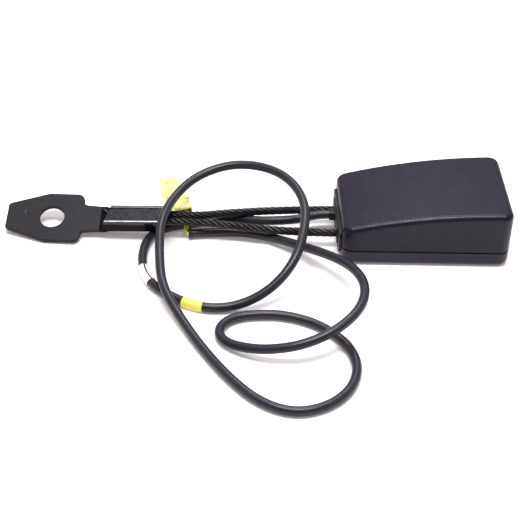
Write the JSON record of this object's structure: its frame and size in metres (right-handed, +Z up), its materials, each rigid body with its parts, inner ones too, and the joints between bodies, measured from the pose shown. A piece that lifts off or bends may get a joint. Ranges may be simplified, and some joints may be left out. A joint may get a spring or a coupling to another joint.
{
  "type": "seat belt buckle",
  "caption": "Seat belt buckle with press button and latch, on a two leg wire rope stalk with an anchor plate, and a switch lead with a connector.",
  "frame": {"origin": "on the resting plane, under the middle of the rigid length from anchor plate tip to buckle mouth", "axes": "+X along the stalk from the anchor plate to the mouth of the buckle, +Z up out of the resting plane"},
  "size_m": [0.261, 0.1799, 0.0315],
  "materials": {
    "black_moulding": "fine grained moulding",
    "zinc_steel": "zinc plated",
    "soft_black": "moulded",
    "red_button": "smooth moulding",
    "spring_steel": "oiled wire",
    "white_moulding": "natural acetal",
    "switch_moulding": "moulded",
    "tinned_brass": "tinned",
    "black_plate": "thin black coating",
    "black_rope": "black coated strands",
    "black_sheath": "smooth extruded sheath",
    "white_label": "film label",
    "yellow_tape": "adhesive tape",
    "wire_sheath": "thin insulation",
    "yellow_moulding": "moulded"
  },
  "bodies": {
    "buckle": {"upper_cover": "black_moulding", "lower_cover": "black_moulding", "cover_screws": "zinc_steel", "rear_bush": "soft_black", "tongue_guide": "black_moulding", "button_springs": "spring_steel", "frame": "zinc_steel", "latch_pin": "zinc_steel", "latch_spring": "spring_steel", "ejector_spring": "spring_steel", "rope_saddle": "zinc_steel", "saddle_rivet": "zinc_steel", "switch_housing": "switch_moulding", "switch_terminals": "tinned_brass", "anchor_plate": "black_plate", "wire_rope": "black_rope", "switch_cable": "black_sheath", "label_band": "white_label", "tape_band": "yellow_tape", "end_tape": "yellow_tape", "wire_pigtail": "wire_sheath", "connector_housing": "yellow_moulding", "connector_lock": "yellow_moulding", "connector_terminals": "tinned_brass"},
    "button": {"press_button": "red_button", "lock_bar": "zinc_steel"},
    "ejector_slide_body": {"ejector": "white_moulding"},
    "latch_body": {"latch": "zinc_steel"},
    "plunger_body": {"switch_plunger": "white_moulding"}
  },
  "joints": [
    {"name": "button_press", "type": "slide", "parent": "buckle", "child": "button", "axis": [-1, 0, 0], "range_m": [0, 0.0055], "stiffness_N_per_m": 600, "springref_m": -0.004, "deforming": ["button_springs"]},
    {"name": "ejector_slide", "type": "slide", "parent": "buckle", "child": "ejector_slide_body", "axis": [-1, 0, 0], "range_m": [0, 0.008], "stiffness_N_per_m": 400, "springref_m": -0.004, "deforming": ["ejector_spring"]},
    {"name": "latch_pivot", "type": "hinge", "parent": "buckle", "child": "latch_body", "pos_m": [0.0724, 0, 0.0168], "axis": [0, 1, 0], "range_deg": [0, 10], "deforming": ["latch_spring"]},
    {"name": "plunger_slide", "type": "slide", "parent": "buckle", "child": "plunger_body", "axis": [0, -1, 0], "range_m": [0, 0.002]}
  ],
  "couplings": [
    {"joint": "latch_pivot", "follows": "ejector_slide", "rad_per_m": 21.817},
    {"joint": "plunger_slide", "follows": "ejector_slide", "ratio": 0.25}
  ]
}
